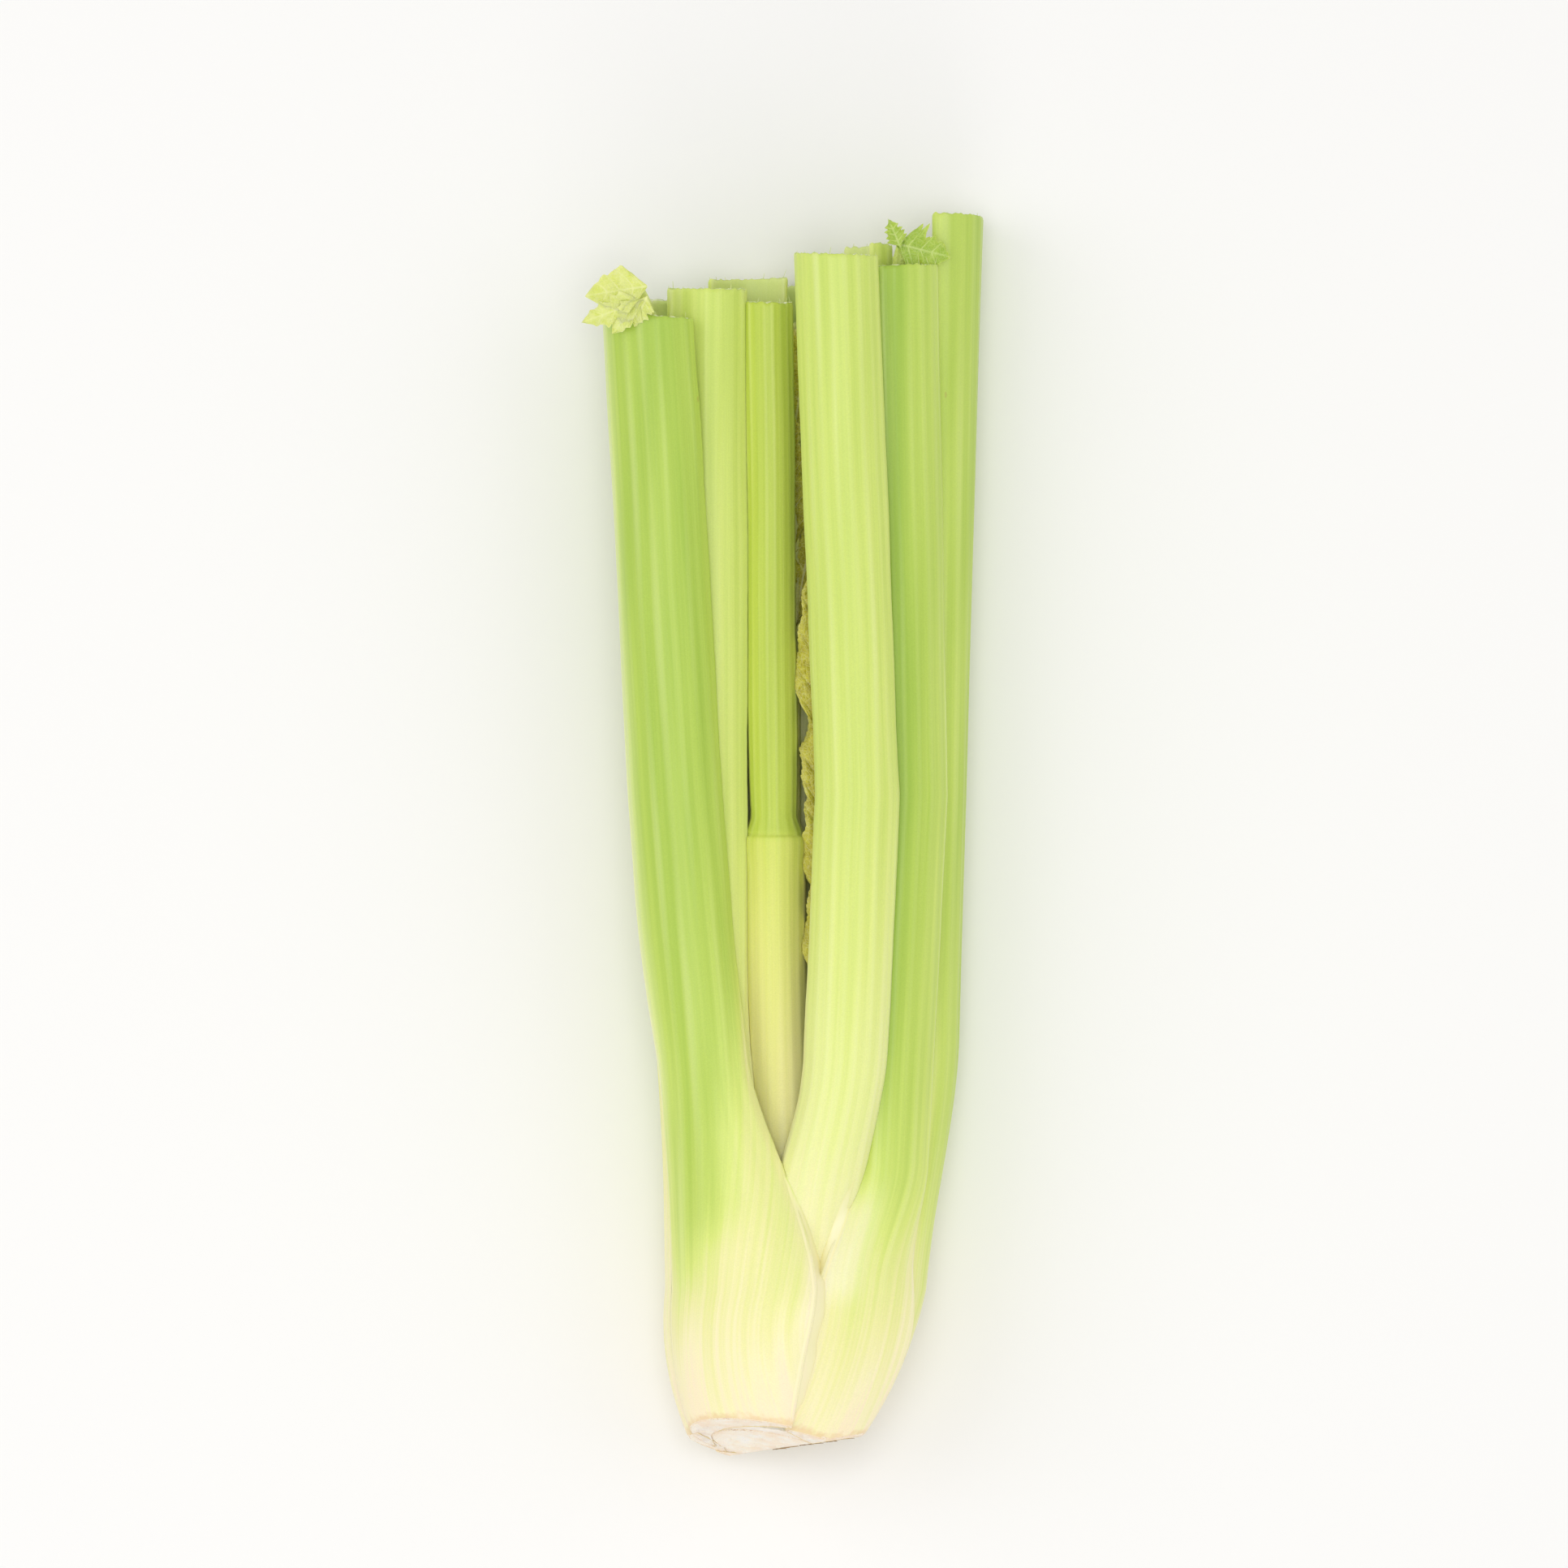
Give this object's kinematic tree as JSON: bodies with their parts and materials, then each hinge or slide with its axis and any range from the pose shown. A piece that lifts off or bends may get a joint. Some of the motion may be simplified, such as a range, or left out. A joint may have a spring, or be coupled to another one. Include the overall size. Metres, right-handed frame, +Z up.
{
  "type": "head of celery",
  "caption": "Trimmed head of fresh celery lying down: pale sheathing base with a cut root, ribbed green stalks cut across at the top, and a few yellow-green leaves.",
  "frame": {"origin": "under the middle of the head, on the surface it lies on: centre of the bounding box in X and Y, its bottom in Z", "axes": "+Y along the head from the cut root to the cut tops, +X to the right with the root towards the viewer, +Z up"},
  "size_m": [0.1188, 0.37, 0.0651],
  "materials": {
    "root": "matte cut plant tissue, whitish with a tan edge",
    "outer_stalk": "satin green plant skin, cream towards the root",
    "inner_stalk": "satin pale yellow-green plant skin, cream towards the root",
    "heart": "satin yellow young stalk and leaf",
    "leaf": "matte yellow-green leaf"
  },
  "bodies": {
    "root": {"root_crown": "root", "stalk_front_left": "outer_stalk", "stalk_front_right": "outer_stalk", "stalk_right": "outer_stalk", "stalk_back_right": "outer_stalk", "stalk_back_middle": "outer_stalk", "stalk_back_left": "outer_stalk", "stalk_second_front": "inner_stalk", "stalk_second_left": "inner_stalk", "stalk_second_back": "inner_stalk", "stalk_second_right": "inner_stalk", "stalk_inner_back": "inner_stalk", "stalk_inner_front": "inner_stalk", "heart_sprig_front": "heart", "heart_sprig_back": "heart", "leaf_left": "leaf", "leaf_right": "leaf"}
  },
  "joints": []
}
